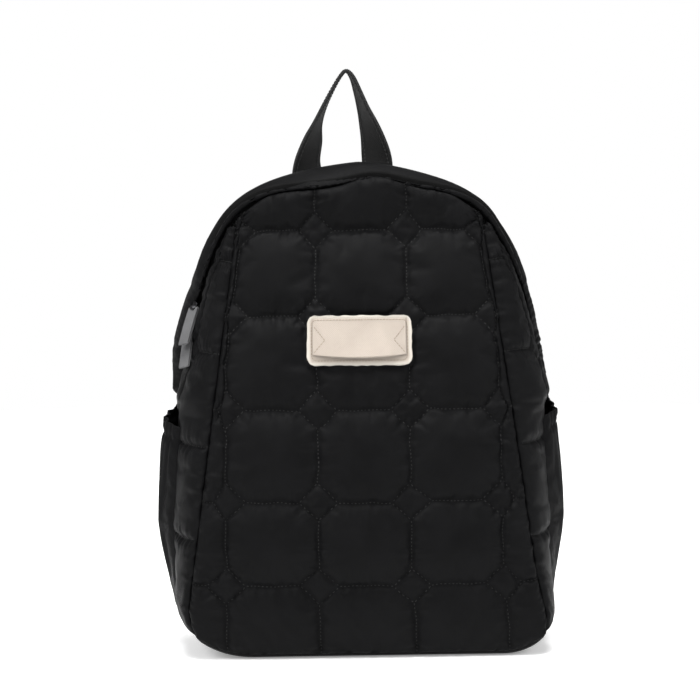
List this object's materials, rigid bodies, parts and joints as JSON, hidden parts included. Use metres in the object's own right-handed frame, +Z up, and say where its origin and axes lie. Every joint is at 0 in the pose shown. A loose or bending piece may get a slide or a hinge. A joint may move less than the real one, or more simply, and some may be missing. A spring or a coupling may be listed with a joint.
{
  "type": "quilted backpack",
  "caption": "Padded quilted nylon day backpack with an arched zip, gathered side pockets, a twisted tape handle, shoulder straps and a bare canvas patch, standing on its base.",
  "frame": {"origin": "on the floor, under the middle of the flat base", "axes": "+Z up, +X to the right seen from the front, +Y from the front to the back"},
  "size_m": [0.323, 0.1718, 0.4583],
  "materials": {
    "nylon": "quilted nylon, faint sheen",
    "gusset": "plain nylon, faint sheen",
    "webbing": "woven tape, matt",
    "zip": "coil zip on woven tape",
    "slider": "black painted casting",
    "ribbon": "grey ribbon",
    "canvas": "cream canvas, matt",
    "plastic": "moulded plastic"
  },
  "bodies": {
    "root": {"front_panel": "nylon", "side_panel_left": "nylon", "side_panel_right": "nylon", "top_gusset": "gusset", "zip": "zip", "zip_slider_1": "slider", "zip_slider_2": "slider", "pull_tab_1": "ribbon", "pull_tab_2": "ribbon", "base_panel": "nylon", "back_panel": "nylon", "side_pocket_left": "nylon", "side_pocket_right": "nylon", "patch": "canvas", "patch_band": "canvas", "handle": "webbing", "shoulder_strap_left": "nylon", "shoulder_strap_right": "nylon", "strap_adjuster_left": "plastic", "strap_adjuster_right": "plastic", "strap_webbing_left": "webbing", "strap_webbing_right": "webbing"}
  },
  "joints": []
}
